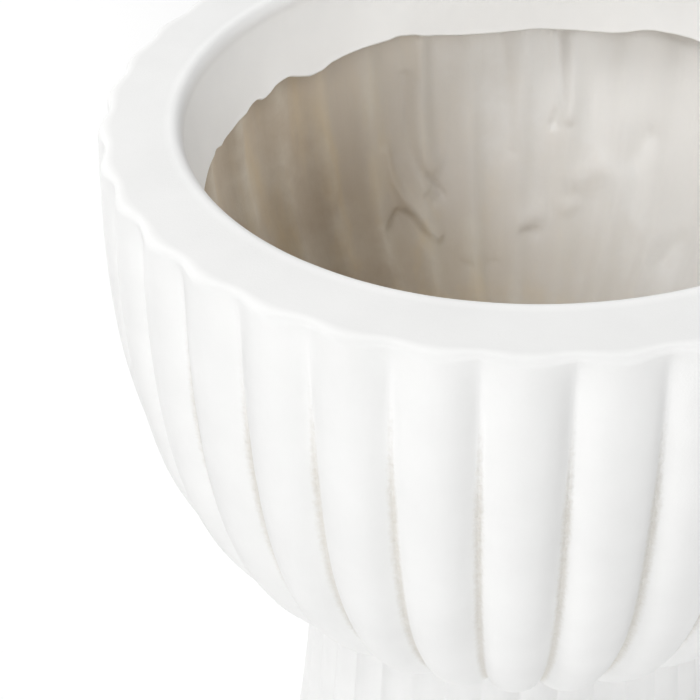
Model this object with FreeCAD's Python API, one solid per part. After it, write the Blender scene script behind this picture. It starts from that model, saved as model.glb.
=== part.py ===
"""Ribbed urn planter: a thick-rimmed cast bowl, bedded in mortar on a hollow flared pedestal.

Millimetres. +Z is up, and the origin is on the floor in the middle of the planter.
A rib crest of the bowl lies on +X, -X, +Y and -Y.
"""
import FreeCAD, Part
import math
import os

Vector = FreeCAD.Vector

# Overall
PLANTER_HEIGHT = 460.0          # floor to the top of the rim
RIB_COUNT = 36                  # ribs round the bowl, and as many round the pedestal
RIB_PITCH_DEG = 360.0 / RIB_COUNT

# Bowl, outside
BOWL_HEIGHT = 272.0             # rim top down to the flat seat under the bowl
BELLY_RADIUS = 198.0            # rib crests where the bowl is widest
BELLY_BELOW_RIM = 80.0          # how far that is under the rim top
SHOULDER_ARC_RADIUS = 470.0     # rib crest line from the rim to the belly
FLANK_ARC_RADIUS = 370.0        # rib crest line just below the belly
FLANK_ARC_DROP = 60.0           # height that the flank arc takes
SEAT_RADIUS = 114.0             # rib crests at the seat, tucked in by one more arc
RIM_EDGE_ROUNDING = 6.0         # outer edge of the rim
GROOVE_DEPTH_AT_RIM = 2.5       # the grooves start as a soft scallop of the rim's edge
GROOVE_DEPTH_UPPER = 6.3        # just under the rim
GROOVE_DEPTH_LOWER = 10.5       # at the hanging ends of the ribs
GROOVE_LOWER_BELOW_RIM = 228.0
GROOVE_DEPTH_AT_SEAT = 6.5
GROOVE_RUN_IN = 5.0             # height over which the scallop turns into a groove

# Bowl, inside
RIM_WIDTH = 33.0                # rib crest to the smooth inner face of the rim
MOUTH_EDGE_ROUNDING = 4.5
RIM_LIP_DEPTH = 43.0            # height of that inner face
RIM_LIP_TAPER = 7.0             # the face draws in by this much towards its lower edge
LIP_SHOULDER_DROP = 9.0         # under the lip the cavity widens to the shell over this height
SHELL_THICKNESS = 20.0          # outer crest line to the widest of the cavity, square to it
INNER_FLUTE_DEPTH = 3.5         # soft hand-pressed flutes inside
INNER_FLUTE_TURN_DEG = 5.0      # their ridges stand behind the crests of the ribs
FLOOR_THICKNESS = 20.0          # bowl floor over the seat

# Spigot, drain and plug
SPIGOT_LENGTH = 16.0            # boss under the bowl that centres it in the pedestal
SPIGOT_CLEARANCE = 1.0          # radial, in the pedestal's socket
DRAIN_RADIUS = 12.0
PLUG_RUNNING_CLEARANCE = 0.05   # radial, plug shank in the drain
PLUG_SEAT_CLEARANCE = 0.2       # under the plug's flange
PLUG_SHANK_LENGTH = 24.0
PLUG_TIP_LENGTH = 5.0           # tapered lead-in below the shank
PLUG_TIP_TAPER = 2.5
PLUG_FLANGE_OVERLAP = 7.0       # flange beyond the drain's edge
PLUG_FLANGE_THICKNESS = 4.0
PLUG_GRIP_RADIUS = 7.0
PLUG_GRIP_NECK_RADIUS = 4.5
PLUG_GRIP_NECK_HEIGHT = 4.0
PLUG_GRIP_HEIGHT = 6.0

# Mortar between bowl and pedestal
BED_THICKNESS = 3.0
BED_WIDTH = 44.0
BED_EDGE_INSET = 2.0            # squeezed mortar is wiped back from the groove bottoms

# Pedestal
PEDESTAL_TOP_INSET = 1.0        # its rib crests lie this far inside the bowl's at the seat
PEDESTAL_FLARE = 24.0           # the foot is this much larger in radius than the top
PEDESTAL_FLARE_SAG = 1.5        # the crest line bows in this much at half height
PEDESTAL_GROOVE_DEPTH = 3.6
PEDESTAL_RIB_OFFSET_DEG = -2.8  # the two castings were bedded with their ribs out of line
PEDESTAL_TOP_WALL = 14.0        # groove bottom to hollow
PEDESTAL_FOOT_WALL = 19.0
PEDESTAL_DECK_THICKNESS = 22.0

# Foot pads
PAD_COUNT = 4
PAD_RADIUS = 8.0
PAD_THICKNESS = 3.0
PAD_EDGE_ROUNDING = 0.6

# Sections that the ribbed surfaces are drawn through
WALL_STEPS = 8
EDGE_STEPS = 3
FLUTE_STEPS = 5
FLARE_STEPS = 4

# Heights that follow
RIM_TOP = PLANTER_HEIGHT
SEAT_HEIGHT = RIM_TOP - BOWL_HEIGHT
FLOOR_TOP = SEAT_HEIGHT + FLOOR_THICKNESS
PEDESTAL_TOP = SEAT_HEIGHT - BED_THICKNESS
PEDESTAL_BOTTOM = PAD_THICKNESS
BELLY_HEIGHT = RIM_TOP - BELLY_BELOW_RIM
DECK_BOTTOM = PEDESTAL_TOP - PEDESTAL_DECK_THICKNESS


def ribbed_wire(crest_radius, groove_depth, height, turn_deg=0.0):
    """Closed outline of convex arcs, each from groove to groove over a rib crest."""

    def point(radius, steps):
        angle = math.radians(turn_deg + steps * RIB_PITCH_DEG)
        return Vector(radius * math.cos(angle), radius * math.sin(angle), height)

    groove_radius = crest_radius - groove_depth
    arcs = []
    for rib in range(RIB_COUNT):
        start = point(groove_radius, rib - 0.5)
        crest = point(crest_radius, rib)
        end = point(groove_radius, rib + 0.5)
        arcs.append(Part.Arc(start, crest, end).toShape())
    return Part.Wire(arcs)


def revolved(points_and_arcs):
    """Solid turned about Z from a closed outline of lines and arcs in the XZ plane."""
    edges = []
    for item in points_and_arcs:
        corners = [Vector(radius, 0.0, height) for radius, height in item]
        if len(corners) == 3:
            edges.append(Part.Arc(*corners).toShape())
        else:
            edges.append(Part.LineSegment(*corners).toShape())
    face = Part.Face(Part.Wire(edges))
    return face.revolve(Vector(0, 0, 0), Vector(0, 0, 1), 360)


def disc(radius, bottom, top):
    return Part.makeCylinder(radius, top - bottom, Vector(0, 0, bottom))


def groove_depth(below_rim):
    """Depth of the bowl's grooves: a scallop at the rim, deepest where the ribs hang."""
    if below_rim <= GROOVE_LOWER_BELOW_RIM:
        share = below_rim / GROOVE_LOWER_BELOW_RIM
        wall_depth = GROOVE_DEPTH_UPPER + share * (GROOVE_DEPTH_LOWER - GROOVE_DEPTH_UPPER)
    else:
        share = (below_rim - GROOVE_LOWER_BELOW_RIM) / (BOWL_HEIGHT - GROOVE_LOWER_BELOW_RIM)
        wall_depth = GROOVE_DEPTH_LOWER + share * (GROOVE_DEPTH_AT_SEAT - GROOVE_DEPTH_LOWER)
    run_in = math.exp(-below_rim / GROOVE_RUN_IN)
    return wall_depth - run_in * (GROOVE_DEPTH_UPPER - GROOVE_DEPTH_AT_RIM)


def underside_arc_radius(join_angle):
    """Radius of the arc that runs on smoothly from the flank arc and ends at the seat."""
    join_radius = BELLY_RADIUS - FLANK_ARC_RADIUS * (1 - math.cos(join_angle))
    fall = BELLY_HEIGHT - FLANK_ARC_DROP - SEAT_HEIGHT
    end_angle = 2 * math.atan2(join_radius - SEAT_RADIUS, fall) - join_angle
    return fall / (math.sin(end_angle) - math.sin(join_angle))


def bowl_radius(height, inwards=0.0):
    """Radius of the bowl's crest line, or of the line that lies this far inside it."""
    if height >= BELLY_HEIGHT:
        radius = SHOULDER_ARC_RADIUS - inwards
        centre = BELLY_RADIUS - SHOULDER_ARC_RADIUS
        return centre + math.sqrt(radius ** 2 - (height - BELLY_HEIGHT) ** 2)
    join_angle = math.asin(FLANK_ARC_DROP / FLANK_ARC_RADIUS)
    flank_centre = BELLY_RADIUS - FLANK_ARC_RADIUS
    flank_radius = FLANK_ARC_RADIUS - inwards
    if BELLY_HEIGHT - height <= flank_radius * math.sin(join_angle):
        return flank_centre + math.sqrt(flank_radius ** 2 - (BELLY_HEIGHT - height) ** 2)
    underside_radius = underside_arc_radius(join_angle)
    centre_shift = FLANK_ARC_RADIUS - underside_radius
    under_centre = flank_centre + centre_shift * math.cos(join_angle)
    under_height = BELLY_HEIGHT - centre_shift * math.sin(join_angle)
    under_radius = underside_radius - inwards
    return under_centre + math.sqrt(under_radius ** 2 - (under_height - height) ** 2)


def bowl_outside():
    """Ribbed outer body of the bowl, from the seat to the rounded edge of the rim."""
    wall = []
    wall_top = RIM_TOP - RIM_EDGE_ROUNDING
    for step in range(WALL_STEPS + 1):
        height = SEAT_HEIGHT + (wall_top - SEAT_HEIGHT) * step / WALL_STEPS
        wall.append(ribbed_wire(bowl_radius(height), groove_depth(RIM_TOP - height), height))
    edge = []
    for step in range(EDGE_STEPS + 1):
        angle = math.radians(90 * step / EDGE_STEPS)
        height = wall_top + RIM_EDGE_ROUNDING * math.sin(angle)
        radius = bowl_radius(height) - RIM_EDGE_ROUNDING * (1 - math.cos(angle))
        edge.append(ribbed_wire(radius, groove_depth(RIM_TOP - height), height))
    return Part.makeLoft(wall, True, False).fuse(Part.makeLoft(edge, True, True))


def bowl_cavity():
    """Softly fluted hollow under the rim's lip, and the smooth round mouth through the rim."""
    mouth_radius = bowl_radius(RIM_TOP) - RIM_WIDTH
    lip_radius = mouth_radius - RIM_LIP_TAPER
    lip_bottom = RIM_TOP - RIM_LIP_DEPTH
    fluted_top = lip_bottom - LIP_SHOULDER_DROP
    flutes = []
    for step in range(FLUTE_STEPS + 1):
        height = FLOOR_TOP + (fluted_top - FLOOR_TOP) * step / FLUTE_STEPS
        radius = bowl_radius(height, SHELL_THICKNESS)
        flutes.append(ribbed_wire(radius, INNER_FLUTE_DEPTH, height, INNER_FLUTE_TURN_DEG))
    shoulder = [
        ribbed_wire(radius, INNER_FLUTE_DEPTH, fluted_top, INNER_FLUTE_TURN_DEG),
        ribbed_wire(lip_radius, 0.0, lip_bottom, INNER_FLUTE_TURN_DEG),
    ]
    hollow = Part.makeLoft(flutes, True, False).fuse(Part.makeLoft(shoulder, True, True))

    above = RIM_TOP + MOUTH_EDGE_ROUNDING
    below = lip_bottom - LIP_SHOULDER_DROP / 2
    arc_reach = MOUTH_EDGE_ROUNDING * (1 - math.sqrt(0.5))
    edge_radius = mouth_radius + MOUTH_EDGE_ROUNDING
    mouth = revolved([
        [(0, below), (lip_radius, below)],
        [(lip_radius, below), (lip_radius, lip_bottom)],
        [(lip_radius, lip_bottom), (mouth_radius, RIM_TOP - MOUTH_EDGE_ROUNDING)],
        [(mouth_radius, RIM_TOP - MOUTH_EDGE_ROUNDING),
         (mouth_radius + arc_reach, RIM_TOP - arc_reach),
         (edge_radius, RIM_TOP)],
        [(edge_radius, RIM_TOP), (edge_radius, above)],
        [(edge_radius, above), (0, above)],
        [(0, above), (0, below)],
    ])
    return hollow.fuse(mouth)


def bed_radii():
    """Outer and inner radius of the mortar ring, inside the groove bottoms at the seat."""
    outer = bowl_radius(SEAT_HEIGHT) - GROOVE_DEPTH_AT_SEAT - BED_EDGE_INSET
    return outer, outer - BED_WIDTH


def bowl():
    spigot_radius = bed_radii()[1] - SPIGOT_CLEARANCE
    spigot_bottom = SEAT_HEIGHT - SPIGOT_LENGTH
    drain = disc(DRAIN_RADIUS, spigot_bottom - 1, FLOOR_TOP + 1)
    spigot = disc(spigot_radius, spigot_bottom, SEAT_HEIGHT + 1)
    return bowl_outside().cut(bowl_cavity()).fuse(spigot).cut(drain)


def mortar_bed():
    outer, inner = bed_radii()
    ring = disc(outer, PEDESTAL_TOP, SEAT_HEIGHT)
    return ring.cut(disc(inner, PEDESTAL_TOP - 1, SEAT_HEIGHT + 1))


def pedestal_radius(height):
    """Radius of the pedestal's crest line, one arc from its foot to its top."""
    top = bowl_radius(SEAT_HEIGHT) - PEDESTAL_TOP_INSET
    foot = top + PEDESTAL_FLARE
    middle = Vector((top + foot) / 2 - PEDESTAL_FLARE_SAG, 0, (PEDESTAL_TOP + PEDESTAL_BOTTOM) / 2)
    line = Part.Arc(Vector(foot, 0, PEDESTAL_BOTTOM), middle, Vector(top, 0, PEDESTAL_TOP))
    arc = line.toShape().Curve
    return arc.Center.x - math.sqrt(arc.Radius ** 2 - (height - arc.Center.z) ** 2)


def pedestal():
    wires = []
    for step in range(FLARE_STEPS + 1):
        height = PEDESTAL_BOTTOM + (PEDESTAL_TOP - PEDESTAL_BOTTOM) * step / FLARE_STEPS
        wires.append(ribbed_wire(
            pedestal_radius(height), PEDESTAL_GROOVE_DEPTH, height, PEDESTAL_RIB_OFFSET_DEG))
    body = Part.makeLoft(wires, True, False)

    foot_hollow = pedestal_radius(PEDESTAL_BOTTOM) - PEDESTAL_GROOVE_DEPTH - PEDESTAL_FOOT_WALL
    deck_hollow = pedestal_radius(DECK_BOTTOM) - PEDESTAL_GROOVE_DEPTH - PEDESTAL_TOP_WALL
    hollow = revolved([
        [(0, PEDESTAL_BOTTOM), (foot_hollow, PEDESTAL_BOTTOM)],
        [(foot_hollow, PEDESTAL_BOTTOM), (deck_hollow, DECK_BOTTOM)],
        [(deck_hollow, DECK_BOTTOM), (0, DECK_BOTTOM)],
        [(0, DECK_BOTTOM), (0, PEDESTAL_BOTTOM)],
    ])
    socket = disc(bed_radii()[1], DECK_BOTTOM - 1, PEDESTAL_TOP + 1)
    return body.cut(hollow).cut(socket)


def drain_plug():
    """Rubber stopper: tapered tip, shank, flange over the drain's edge and a grip to pull."""
    shank_radius = DRAIN_RADIUS - PLUG_RUNNING_CLEARANCE
    flange_bottom = FLOOR_TOP + PLUG_SEAT_CLEARANCE
    flange_top = flange_bottom + PLUG_FLANGE_THICKNESS
    neck_top = flange_top + PLUG_GRIP_NECK_HEIGHT
    shank_bottom = flange_bottom - PLUG_SHANK_LENGTH
    tip = Part.makeCone(
        shank_radius - PLUG_TIP_TAPER, shank_radius, PLUG_TIP_LENGTH,
        Vector(0, 0, shank_bottom - PLUG_TIP_LENGTH))
    plug = tip.fuse(disc(shank_radius, shank_bottom, flange_top))
    plug = plug.fuse(disc(DRAIN_RADIUS + PLUG_FLANGE_OVERLAP, flange_bottom, flange_top))
    plug = plug.fuse(disc(PLUG_GRIP_NECK_RADIUS, flange_top, neck_top))
    plug = plug.fuse(disc(PLUG_GRIP_RADIUS, neck_top, neck_top + PLUG_GRIP_HEIGHT))
    return plug.removeSplitter()


def foot_pad(number):
    """One of the rubber pads under the pedestal's foot ring, midway between the axes."""
    ring_outer = pedestal_radius(PEDESTAL_BOTTOM) - PEDESTAL_GROOVE_DEPTH
    ring_middle = ring_outer - PEDESTAL_FOOT_WALL / 2
    angle = math.radians((number - 0.5) * 360.0 / PAD_COUNT)
    centre = Vector(ring_middle * math.cos(angle), ring_middle * math.sin(angle), 0)
    pad = Part.makeCylinder(PAD_RADIUS, PAD_THICKNESS, centre)
    floor_edges = [edge for edge in pad.Edges if edge.BoundBox.ZMax < PAD_THICKNESS / 2]
    return pad.makeFillet(PAD_EDGE_ROUNDING, floor_edges)


def main():
    os.makedirs("parts", exist_ok=True)
    nodes = {
        "bowl": bowl(),
        "mortar_bed": mortar_bed(),
        "pedestal": pedestal(),
        "drain_plug": drain_plug(),
    }
    for number in range(1, PAD_COUNT + 1):
        nodes["foot_pad_%d" % number] = foot_pad(number)
    for name, shape in nodes.items():
        solid = shape.Solids[0] if len(shape.Solids) == 1 else shape
        solid.exportStep("parts/%s.step" % name)
        print("%-12s %d solid, %9.1f cm3" % (name, len(shape.Solids), shape.Volume / 1000))


main()
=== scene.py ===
"""Ribbed urn planter: a painted fibre-cement bowl bedded in mortar on a flared pedestal.

The castings are turned from half sections by one geometry node tree. Metres, +Z up.
"""
import math
from collections import namedtuple

import bmesh
import bpy
import numpy as np
from bpy.props import FloatProperty, FloatVectorProperty, IntProperty, PointerProperty
from mathutils import Matrix, Vector


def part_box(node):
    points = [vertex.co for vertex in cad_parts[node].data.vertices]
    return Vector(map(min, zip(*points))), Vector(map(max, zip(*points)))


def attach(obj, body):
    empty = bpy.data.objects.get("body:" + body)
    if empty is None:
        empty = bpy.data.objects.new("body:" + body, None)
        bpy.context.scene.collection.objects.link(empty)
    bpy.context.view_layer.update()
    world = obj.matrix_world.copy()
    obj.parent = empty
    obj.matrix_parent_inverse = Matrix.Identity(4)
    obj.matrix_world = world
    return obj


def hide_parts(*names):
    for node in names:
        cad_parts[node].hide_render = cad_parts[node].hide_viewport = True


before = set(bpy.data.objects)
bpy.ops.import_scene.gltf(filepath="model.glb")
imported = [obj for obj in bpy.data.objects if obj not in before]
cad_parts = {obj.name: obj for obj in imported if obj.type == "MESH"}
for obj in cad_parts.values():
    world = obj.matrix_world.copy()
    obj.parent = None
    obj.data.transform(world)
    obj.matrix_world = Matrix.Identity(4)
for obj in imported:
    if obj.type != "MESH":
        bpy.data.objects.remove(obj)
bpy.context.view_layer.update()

bl_info = {
    "name": "Ribbed urn planter",
    "version": (1, 0, 0),
    "blender": (4, 5, 0),
    "location": "3D View > Sidebar > Planter",
    "description": "Builds a cast and painted urn planter around its packed frame",
    "category": "Object",
}

MM = 0.001
BOWL_LOW, BOWL_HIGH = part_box("bowl")
BED_LOW, BED_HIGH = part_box("mortar_bed")
PEDESTAL_LOW, PEDESTAL_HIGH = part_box("pedestal")
PLUG_LOW, PLUG_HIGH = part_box("drain_plug")
PAD_NODES = tuple(sorted(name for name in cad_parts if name.startswith("foot_pad_")))

RIM_TOP = BOWL_HIGH.z
SEAT_HEIGHT = BED_HIGH.z
PAINT_SKIN = 0.1 * MM           # the shown faces lie this far inside the castings' crests
WHITE = (1.0, 1.0, 1.0, 1.0)


# ---------------------------------------------------------------- sizes and colours

def metres(name, description, default):
    """A length that is shown in the scene's unit."""
    return FloatProperty(
        name=name, description=description, default=default,
        subtype="DISTANCE", unit="LENGTH", precision=4)


def millimetres(name, description, default):
    """A length that is written here in millimetres."""
    return metres(name, description, default * MM)


def degrees(name, description, default):
    """An angle that is written here in degrees."""
    return FloatProperty(
        name=name, description=description, default=math.radians(default),
        subtype="ANGLE", unit="ROTATION")


def colour(name, description, default):
    """A colour that is written here as an sRGB hex value."""
    return FloatVectorProperty(
        name=name, description=description, default=linear(default)[:3],
        subtype="COLOR", size=3, min=0.0, max=1.0)


def linear(hex_value):
    """Turns an sRGB hex value into the linear colour that shaders take."""
    channels = [int(hex_value[place:place + 2], 16) / 255 for place in (1, 3, 5)]
    return [c / 12.92 if c <= 0.04045 else ((c + 0.055) / 1.055) ** 2.4 for c in channels] + [1.0]


class BowlSizes(bpy.types.PropertyGroup):
    """Sizes of the ribbed bowl."""
    ribs: IntProperty(name="Ribs", description="Ribs round the castings", default=36, min=8)
    belly_below_rim: millimetres("Belly below rim", "Height from the belly to the rim", 80)
    belly_radius: metres("Belly radius", "Radius over the rib crests", BOWL_HIGH.x)
    shoulder_arc: millimetres("Shoulder arc", "Crest line from the rim to the belly", 540)
    flank_arc: millimetres("Flank arc", "Crest line just under the belly", 370)
    flank_drop: millimetres("Flank drop", "Height that the flank arc takes", 60)
    seat_radius: millimetres("Seat radius", "Crest radius at the flat seat", 114)
    edge_rounding: millimetres("Rim edge rounding", "Outer edge of the rim", 3.4)
    groove_at_rim: millimetres("Groove at rim", "Scallop of the rim's outer edge", 2.2)
    groove_upper: millimetres("Groove under rim", "Groove depth just under the rim", 6.3)
    groove_lower: millimetres("Groove at rib ends", "Groove depth where the ribs hang", 10.5)
    groove_lower_drop: millimetres("Rib ends below rim", "Where the grooves are deepest", 228)
    groove_at_seat: millimetres("Groove at seat", "Groove depth at the seat", 6.5)
    groove_run_in: millimetres("Groove run-in", "Height over which a scallop deepens", 9)
    scallop_drop: millimetres("Scallop drop", "Where soft scallops have become grooves", 26)
    rim_width: millimetres("Rim width", "Crest to the smooth inner face", 37.7)
    mouth_rounding: millimetres("Mouth rounding", "Inner edge of the rim", 6)
    lip_depth: millimetres("Lip depth", "Height of the painted inner face", 45.5)
    lip_taper: millimetres("Lip taper", "How far that face draws in downwards", 5)
    lip_bead: millimetres("Lip bead", "Rounding of the lip's thick lower edge", 2.2)
    lip_shoulder: millimetres("Lip shoulder", "Height over which the hollow widens", 9)
    shell: millimetres("Shell", "Wall thickness over the crests", 20)
    flute_height: millimetres("Flute height", "Soft ridges pressed inside", 6)
    floor: millimetres("Floor", "Thickness over the seat", 20)
    floor_fillet: millimetres("Floor fillet", "Hand-pressed corner at the floor", 16)
    drain_radius: millimetres("Drain radius", "Drain hole in the floor", 12)
    spigot_radius: millimetres("Spigot radius", "Boss that sits in the pedestal", 60.5)
    torn_depth: millimetres("Torn lip", "Band in which the lip's lower edge strays", 5.5)


class PedestalSizes(bpy.types.PropertyGroup):
    """Sizes of the ribbed pedestal."""
    foot_radius: metres("Foot radius", "Radius over the rib crests at the foot",
                        PEDESTAL_HIGH.y - 0.4 * MM)
    flare: millimetres("Flare", "Foot radius less top radius", 24)
    flare_sag: millimetres("Flare sag", "How far the crest line bows in", 1.5)
    groove_depth: millimetres("Groove depth", "Depth of the pedestal's grooves", 3.0)
    rib_turn: degrees("Rib turn", "Turn of its ribs against the bowl's", -2.8)
    top_wall: millimetres("Top wall", "Groove to hollow at the deck", 14)
    foot_wall: millimetres("Foot wall", "Groove to hollow at the foot", 19)
    deck: millimetres("Deck", "Thickness of the top deck", 22)
    socket_radius: millimetres("Socket radius", "Hole that takes the spigot", 61.5)
    edge_rounding: millimetres("Edge rounding", "Edges at the foot and the deck", 2.2)


class PlanterColours(bpy.types.PropertyGroup):
    """Colours of the planter's finishes."""
    # The full paint colour is also the lit end of the painted light, used on the inner lip
    paint: colour("Paint", "Matt white masonry paint in a full coat", "#FAFAF9")
    # A darker copy of the paint for painted shade: all of it on the rim top, half on the outside
    shaded_paint: colour("Thin paint", "The same paint where less of it was sprayed", "#EBEBEA")
    # A darker grey for the grooves: gritty thin paint, and painted shade in the creases
    groove_grit_and_shade: colour("Groove paint", "Thin gritty paint in the grooves", "#DEDAD2")
    cement: colour("Cement", "Bare cement inside the bowl", "#E0D9CC")
    # Used for the cement's random darker clouds, and as painted shade in the valleys between the
    # inner ridges
    cement_clouds_and_shade: colour("Damp cement", "Darker clouds of the bare cement", "#C3B5A3")
    cement_stain: colour("Cement stain", "Yellowish streaks of the bare cement", "#DDCAA7")
    mortar: colour("Mortar", "Joint between bowl and pedestal", "#A39C90")
    plug: colour("Plug rubber", "Drain plug", "#1B1B1C")
    pads: colour("Pad rubber", "Foot pads", "#4A4A4B")


class StageSettings(bpy.types.PropertyGroup):
    """Camera, floor and studio light."""
    lens: FloatProperty(name="Lens", description="Focal length in mm", default=72.98)
    heading: degrees("Heading", "Turn of the view from +Y towards +X", -7.62)
    pitch: degrees("Pitch", "How far the view looks down", 38.99)
    roll: degrees("Roll", "Tilt of the picture", -3.65)
    place: FloatVectorProperty(
        name="Camera place", description="Where the camera stands", subtype="XYZ",
        unit="LENGTH", default=(-0.01094, -0.5699, 0.7727))


# ---------------------------------------------------------------- node helpers

def add(tree, kind, inputs=(), out=0, **settings):
    """Adds one node with its settings and gives one of its outputs.

    Inputs go by place or by name, and each is a value or the output that feeds it.
    """
    node = tree.nodes.new(kind)
    count = len(tree.nodes)
    node.location = (190 * (count % 14), -230 * (count // 14))
    for name, value in settings.items():
        setattr(node, name, value)
    for key, value in inputs.items() if isinstance(inputs, dict) else enumerate(inputs):
        if isinstance(value, bpy.types.NodeSocket):
            tree.links.new(value, node.inputs[key])
        elif value is not None:
            node.inputs[key].default_value = value
    return node.outputs[out] if len(node.outputs) else node


def calc(tree, operation, *values):
    """One step of arithmetic on values or node outputs."""
    return add(tree, "ShaderNodeMath", values, operation=operation)


def ranged(tree, value, low, high, start=0.0, end=1.0, **settings):
    """Stretches low to high into start to end, and holds the value there outside."""
    return add(tree, "ShaderNodeMapRange", {
        "Value": value, "From Min": low, "From Max": high, "To Min": start, "To Max": end},
        **settings)


def new_tree(name, inputs, output):
    """A node tree with named inputs, each with its kind and default, and one shape out."""
    tree = bpy.data.node_groups.new(name, "GeometryNodeTree")
    for label, kind, default in inputs:
        socket = tree.interface.new_socket(label, in_out="INPUT", socket_type="NodeSocket" + kind)
        if default is not None:
            socket.default_value = default
    tree.interface.new_socket(output, in_out="OUTPUT", socket_type="NodeSocketGeometry")
    return tree, tree.nodes.new("NodeGroupInput").outputs


def finished(tree, shape, finish):
    """Makes a shape's instances real and gives it its finish."""
    real = add(tree, "GeometryNodeRealizeInstances", {"Geometry": shape})
    return add(tree, "GeometryNodeSetMaterial", {"Geometry": real, "Material": finish})


def noise(tree, place, size, detail, roughness=0.5):
    """Soft noise whose largest lumps have about this size."""
    return add(tree, "ShaderNodeTexNoise", {
        "Vector": place, "Scale": 1 / size, "Detail": detail, "Roughness": roughness})


def bumped(tree, height, distance, **inputs):
    """A normal that is tilted by a height, which counts as this distance from 0 to 1."""
    return add(tree, "ShaderNodeBump", {
        "Height": height, "Distance": distance,
        **{name.capitalize(): value for name, value in inputs.items()}})


def blend(tree, share, first, second, blend_type="MIX"):
    """Turns the first colour into the second by a share, or multiplies them."""
    first, second = (shade if isinstance(shade, bpy.types.NodeSocket) else (*shade[:3], 1.0)
                     for shade in (first, second))
    return add(tree, "ShaderNodeMix", {0: share, 6: first, 7: second}, 2,
               data_type="RGBA", blend_type=blend_type)


# ---------------------------------------------------------------- turned castings

# What a row of points carries: depth of its grooves, share of soft scallop, height of the
# flutes and of the unevenness, share of tearing, 1 where bare, and its share of painted
# light, which draws the paint from its painted-shade copy to its lit copy
ROW_DEFAULTS = dict(rib_depth=0.0, scallop=0.0, flute=0.0, uneven=0.0, torn=0.0, bare=0.0,
                    coat=0.5)
Row = namedtuple("Row", ["radius", "height", *ROW_DEFAULTS], defaults=ROW_DEFAULTS.values())
AXIS = 0.01 * MM                # radius of a row on the axis


def steps(count, first=0):
    """Shares from 0 to 1 in equal steps."""
    return [step / count for step in range(first, count + 1)]


def mix(start, end, share):
    """The value at a share of the way from start to end."""
    return start + (end - start) * share


def corner(centre_radius, centre_height, radius, start, end, count=4, **channels):
    """Rows round an edge, from one angle to another, where 0 faces outwards and 90 up."""
    rows = []
    for share in steps(count):
        angle = math.radians(mix(start, end, share))
        rows.append(Row(
            centre_radius + radius * math.cos(angle),
            centre_height + radius * math.sin(angle), **channels))
    return rows


def rib_arc_radius(row, ribs):
    """Radius of the arc from groove to groove over a rib's crest."""
    half_pitch = math.pi / ribs
    groove = row.radius - row.rib_depth
    half_width = groove * math.sin(half_pitch)
    rise = row.radius - groove * math.cos(half_pitch)
    if rise < 1e-9:
        return max(row.radius, 1e-6)
    return (half_width ** 2 + rise ** 2) / (2 * rise)


def linked(name, data):
    """A new object in the scene."""
    piece = bpy.data.objects.new(name, data)
    bpy.context.scene.collection.objects.link(piece)
    return piece


def section_object(name, rows, ribs):
    """The half section as a line of points that carry the rows' values."""
    mesh = bpy.data.meshes.new(name)
    places = [(row.radius, 0.0, row.height) for row in rows]
    mesh.from_pydata(places, [(i, i + 1) for i in range(len(rows) - 1)], [])
    channels = {key: [getattr(row, key) for row in rows] for key in ROW_DEFAULTS}
    channels["rib_arc"] = [rib_arc_radius(row, ribs) for row in rows]
    for key, values in channels.items():
        mesh.attributes.new(key, "FLOAT", "POINT").data.foreach_set("value", values)
    return linked(name, mesh)


CASTING_INPUTS = (
    ("Half section", "Geometry", None),
    ("Ribs", "Int", 36),
    ("Columns per rib", "Int", 11),
    ("Turn", "Float", 0.0),
    ("Rib wander", "Float", 0.0),
    ("Rib fullness", "Float", 1.0),
    ("Torn depth", "Float", 0.0),
    ("Cloud size", "Float", 0.045),
    ("Seed", "Float", 0.0),
    ("Finish", "Material", None),
    ("Bare finish", "Material", None),
)
KEPT_CHANNELS = ("torn", "uneven", "coat", "bare")      # rows' values that the casting keeps

COLUMN_CROWDING = 0.65          # how far a rib's columns are drawn towards its grooves
GROOVE_BOTTOM = (0.97, 0.14)    # share of a rib where its groove begins to round, and how softly
RIDGE_SHARPNESS = 1.5           # of the soft ridges inside
RIDGE_STRENGTH = (0.45, 1.25)   # weakest and strongest of those ridges
NOISE_CLIMB = 2.5               # noise runs round a unit circle, and climbs this much a metre
WANDER_SCALE, RIDGE_SCALE, TEAR_SCALE = 5.0, 3.0, 4.2   # scales of the noise on that circle


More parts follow.
